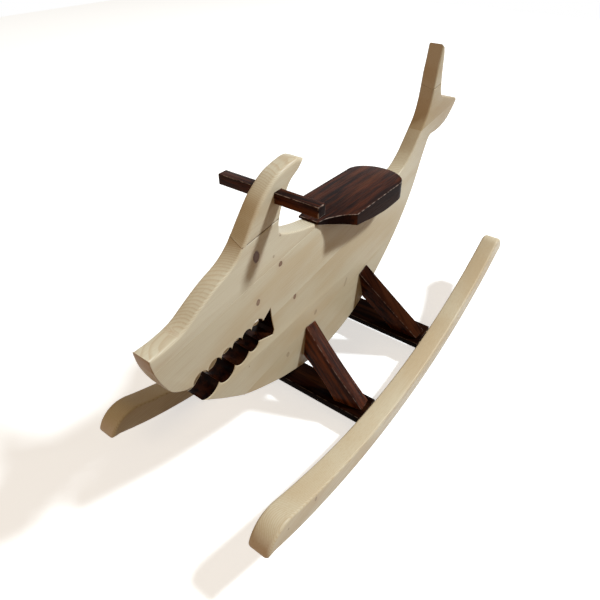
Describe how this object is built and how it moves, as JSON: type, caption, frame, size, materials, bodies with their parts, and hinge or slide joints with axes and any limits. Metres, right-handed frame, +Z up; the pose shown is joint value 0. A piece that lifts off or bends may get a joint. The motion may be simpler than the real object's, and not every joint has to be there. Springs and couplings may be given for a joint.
{
  "type": "rocking shark",
  "caption": "Child's wooden rocker: a shark sawn from glued boards on two curved runners, with crossbars, slanted braces, a seat on its back and a square grip bar through its fin.",
  "frame": {"origin": "on the floor, half way between the runners and under the middle of the overall length", "axes": "+Z up; -Y towards the snout, along the shark's length; +X towards the shark's left side"},
  "size_m": [0.4856, 1.208, 0.779],
  "materials": {
    "spruce": "clear satin varnish on pale knotty spruce",
    "dark_stain": "dark red-brown stain under a satin varnish",
    "dowel_beech": "plain",
    "screw_steel": "zinc plated"
  },
  "bodies": {
    "root": {"dorsal_fin": "spruce", "tail_tip": "spruce", "head_board": "spruce", "tail_board": "spruce", "upper_jaw_board": "spruce", "lower_jaw_board": "spruce", "belly_board": "spruce", "left_runner": "spruce", "right_runner": "spruce", "handlebar": "dark_stain", "seat": "dark_stain", "front_crossbar": "dark_stain", "rear_crossbar": "dark_stain", "front_left_brace": "dark_stain", "front_right_brace": "dark_stain", "rear_left_brace": "dark_stain", "rear_right_brace": "dark_stain", "fin_dowel_front": "dowel_beech", "fin_dowel_rear": "dowel_beech", "tail_dowel": "dowel_beech", "seat_dowel_front": "dowel_beech", "seat_dowel_middle": "dowel_beech", "seat_dowel_rear": "dowel_beech", "front_brace_dowel_lower": "dowel_beech", "front_brace_dowel_upper": "dowel_beech", "rear_brace_dowel_lower": "dowel_beech", "rear_brace_dowel_upper": "dowel_beech", "front_left_runner_dowel_front": "dowel_beech", "front_left_runner_dowel_rear": "dowel_beech", "front_right_runner_dowel_front": "dowel_beech", "front_right_runner_dowel_rear": "dowel_beech", "rear_left_runner_dowel_front": "dowel_beech", "rear_left_runner_dowel_rear": "dowel_beech", "rear_right_runner_dowel_front": "dowel_beech", "rear_right_runner_dowel_rear": "dowel_beech", "front_left_brace_screw_inner": "screw_steel", "front_left_brace_screw_outer": "screw_steel", "front_right_brace_screw_inner": "screw_steel", "front_right_brace_screw_outer": "screw_steel", "rear_left_brace_screw_inner": "screw_steel", "rear_left_brace_screw_outer": "screw_steel", "rear_right_brace_screw_inner": "screw_steel", "rear_right_brace_screw_outer": "screw_steel"}
  },
  "joints": []
}
